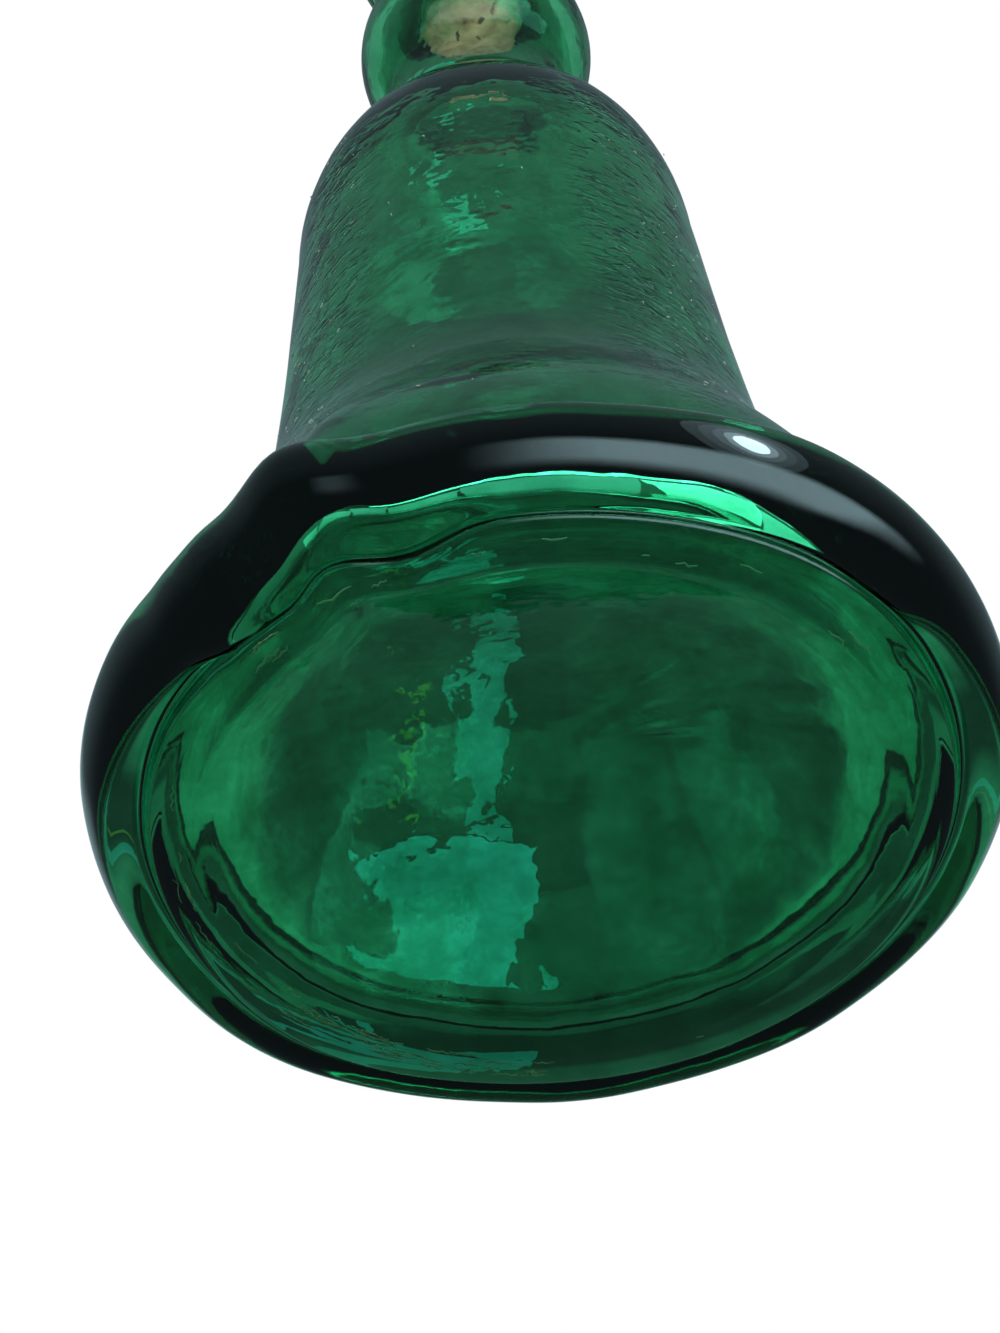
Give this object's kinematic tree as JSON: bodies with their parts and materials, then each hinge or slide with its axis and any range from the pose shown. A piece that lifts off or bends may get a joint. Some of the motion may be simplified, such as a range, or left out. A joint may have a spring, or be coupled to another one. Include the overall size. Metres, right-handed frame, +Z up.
{
  "type": "bell-shaped bottle",
  "caption": "Hand-blown bell-shaped bottle of green glass: flared foot with a coiled rim, domed push-up, tapered body, round knop on the neck, coiled lip and a tapered cork that pulls out.",
  "frame": {"origin": "middle of the ring that the bottle stands on, on the bottle's axis", "axes": "+Z up along the bottle's axis towards the mouth; the lap of the foot coil lies between -X and -Y"},
  "size_m": [0.1, 0.1, 0.2193],
  "materials": {
    "green_glass": "clear emerald glass, fire-polished, a little wavy, with seeds and light wear",
    "cork_bark": "matte cork with dark lenticels"
  },
  "bodies": {
    "bottle": {"bottle_body": "green_glass", "foot_coil": "green_glass", "lip_coil": "green_glass"},
    "cork": {"cork_stopper": "cork_bark"}
  },
  "joints": [
    {"name": "cork_pull", "type": "slide", "parent": "bottle", "child": "cork", "axis": [0, 0, 1], "range_m": [0, 0.045]}
  ]
}
